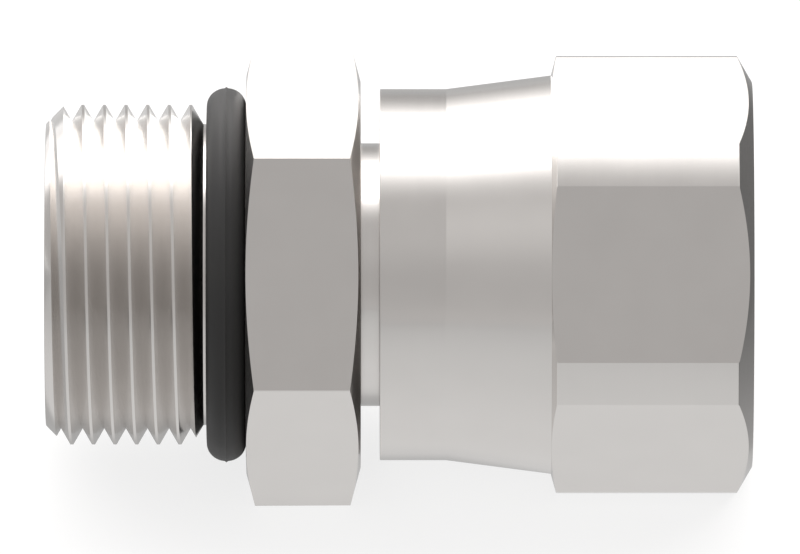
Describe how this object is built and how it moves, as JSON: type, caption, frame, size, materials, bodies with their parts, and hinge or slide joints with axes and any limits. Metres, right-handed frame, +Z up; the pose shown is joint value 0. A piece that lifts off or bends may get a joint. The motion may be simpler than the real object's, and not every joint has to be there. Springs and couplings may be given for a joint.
{
  "type": "straight hydraulic adapter",
  "caption": "Straight steel tube adapter with a threaded O-ring stud at one end, a hexagon and a female swivel nut at the other.",
  "frame": {"origin": "on the fitting's axis, half-way between the stud's end face and the nut's front face", "axes": "+X along the fitting's axis from the stud to the nut's mouth, +Z up from the flats that it lies on"},
  "size_m": [0.0692, 0.0454, 0.0392],
  "materials": {
    "plated_steel": "bright zinc plating over fine turning marks",
    "black_rubber": "smooth moulded"
  },
  "bodies": {
    "body": {"adapter_body": "plated_steel", "o_ring": "black_rubber"},
    "nut": {"swivel_nut": "plated_steel"}
  },
  "joints": [
    {"name": "nut_swivel", "type": "hinge", "parent": "body", "child": "nut", "pos_m": [0, 0, 0], "axis": [1, 0, 0], "continuous": true}
  ]
}
